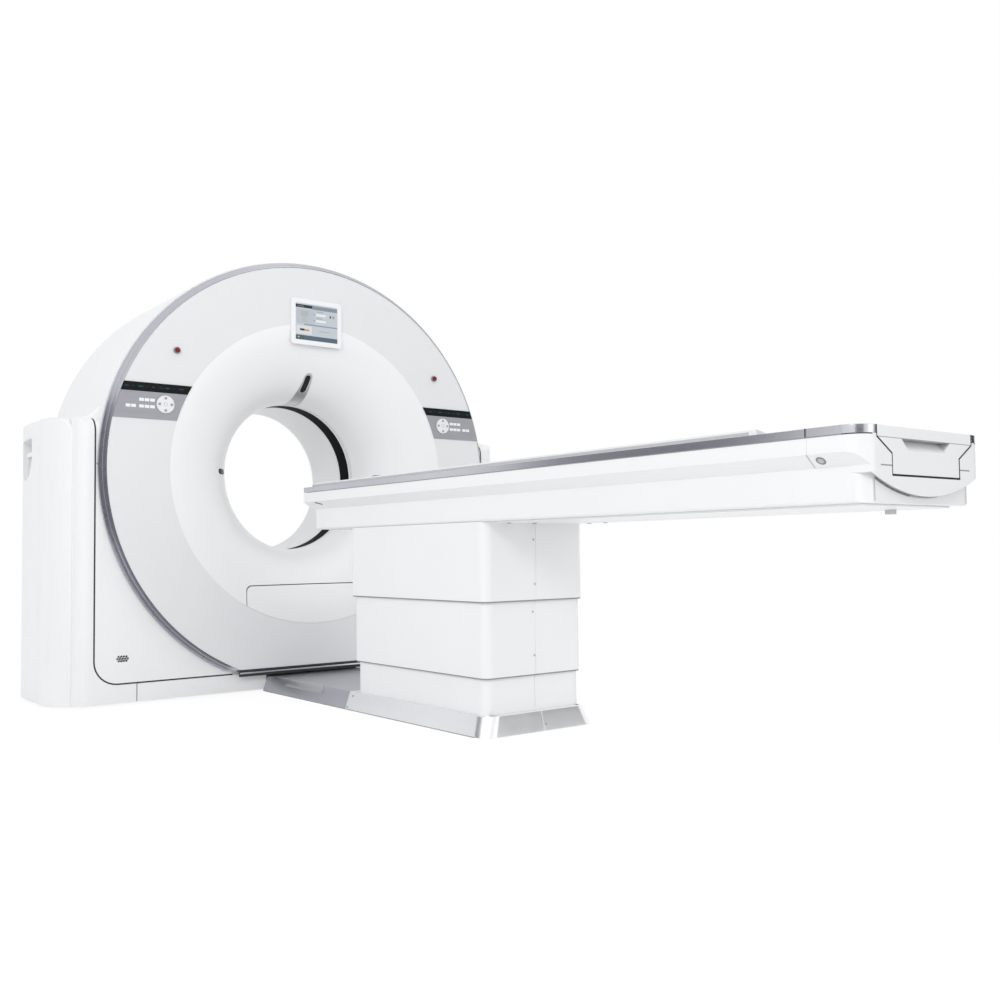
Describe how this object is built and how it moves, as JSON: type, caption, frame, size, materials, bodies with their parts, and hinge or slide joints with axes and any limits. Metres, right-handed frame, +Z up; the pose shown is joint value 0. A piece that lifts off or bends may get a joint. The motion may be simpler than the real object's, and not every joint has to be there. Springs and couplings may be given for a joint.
{
  "type": "CT scanner",
  "caption": "Medical CT scanner: round white gantry with a flared bore, silver trim ring, controls and screen, and a patient table on a telescoping pedestal.",
  "frame": {"origin": "on the floor, below the bore axis, in the plane of the gantry's front", "axes": "+Y into the bore, away from the table; +X to the right facing the gantry; +Z up"},
  "size_m": [2.3004, 3.785, 1.971],
  "materials": {
    "white cover": "satin",
    "pale grey cover": "satin",
    "satin silver": "satin",
    "dark window": "gloss",
    "black plastic": "matte",
    "panel aluminium": "satin",
    "display strip": "gloss",
    "panel key": "matte",
    "round pad": "satin",
    "red button": "satin",
    "screen housing": "satin",
    "screen glass": "gloss",
    "frame steel": "satin",
    "rubber foot": "matte",
    "rotor metal": "satin",
    "tube housing": "satin",
    "cradle shell": "satin"
  },
  "bodies": {
    "frame": {"disc_cover": "pale grey cover", "funnel_cover": "white cover", "access_cover": "white cover", "trim_ring": "satin silver", "scan_window": "dark window", "rear_cover": "white cover", "rear_tunnel": "white cover", "arch_shroud": "white cover", "side_cover_left": "white cover", "side_cover_right": "white cover", "grip_pockets": "white cover", "corner_cover_left": "white cover", "corner_cover_right": "white cover", "intercom_speaker": "black plastic", "kick_strips": "white cover", "laser_windows": "dark window", "control_panel_left": "panel aluminium", "control_panel_right": "panel aluminium", "display_strips": "display strip", "keypads": "panel key", "estop_collars": "panel aluminium", "screen_bezel": "screen housing", "screen_glass": "screen glass", "base_frame": "frame steel", "levelling_feet": "rubber foot", "stator_frame": "frame steel", "base_plate": "frame steel", "skirt_bridge": "satin silver", "skirt_sides": "satin silver", "lower_covers": "white cover", "lift_column_outer": "frame steel"},
    "rotor": {"rotor_drum": "rotor metal", "xray_tube": "tube housing", "collimator": "tube housing", "detector_arc": "rotor metal", "power_units": "tube housing"},
    "pad_left": {"round_pad_left": "round pad"},
    "pad_right": {"round_pad_right": "round pad"},
    "stop_left": {"estop_left": "red button"},
    "stop_right": {"estop_right": "red button"},
    "middle_stage": {"middle_covers": "white cover", "lift_column_middle": "frame steel"},
    "table": {"upper_covers": "white cover", "lift_column_inner": "frame steel", "table_frame": "rotor metal", "lower_tray": "white cover", "side_shell_left": "white cover", "side_shell_right": "white cover", "foot_cap": "white cover", "rail_left": "satin silver", "rail_right": "satin silver", "rail_corners": "satin silver", "underside_pan": "white cover"},
    "cradle": {"cradle": "cradle shell", "cradle_handle": "white cover"}
  },
  "joints": [
    {"name": "rotor_spin", "type": "hinge", "parent": "frame", "child": "rotor", "pos_m": [0, 0, 0.985], "axis": [0, 1, 0], "continuous": true},
    {"name": "table_lift", "type": "slide", "parent": "frame", "child": "table", "axis": [0, 0, 1], "range_m": [-0.35, 0.02]},
    {"name": "middle_lift", "type": "slide", "parent": "frame", "child": "middle_stage", "axis": [0, 0, 1], "range_m": [-0.117, 0.007]},
    {"name": "cradle_slide", "type": "slide", "parent": "table", "child": "cradle", "axis": [0, 1, 0], "range_m": [0, 1.6]},
    {"name": "stop_press_left", "type": "slide", "parent": "frame", "child": "stop_left", "axis": [0, 1, 0], "range_m": [0, 0.004]},
    {"name": "stop_press_right", "type": "slide", "parent": "frame", "child": "stop_right", "axis": [0, 1, 0], "range_m": [0, 0.004]},
    {"name": "pad_press_left", "type": "slide", "parent": "frame", "child": "pad_left", "axis": [0, 1, 0], "range_m": [0, 0.0015], "stiffness_N_per_m": 2000},
    {"name": "pad_press_right", "type": "slide", "parent": "frame", "child": "pad_right", "axis": [0, 1, 0], "range_m": [0, 0.0015], "stiffness_N_per_m": 2000}
  ],
  "couplings": [
    {"joint": "middle_lift", "follows": "table_lift", "ratio": 0.33333}
  ]
}
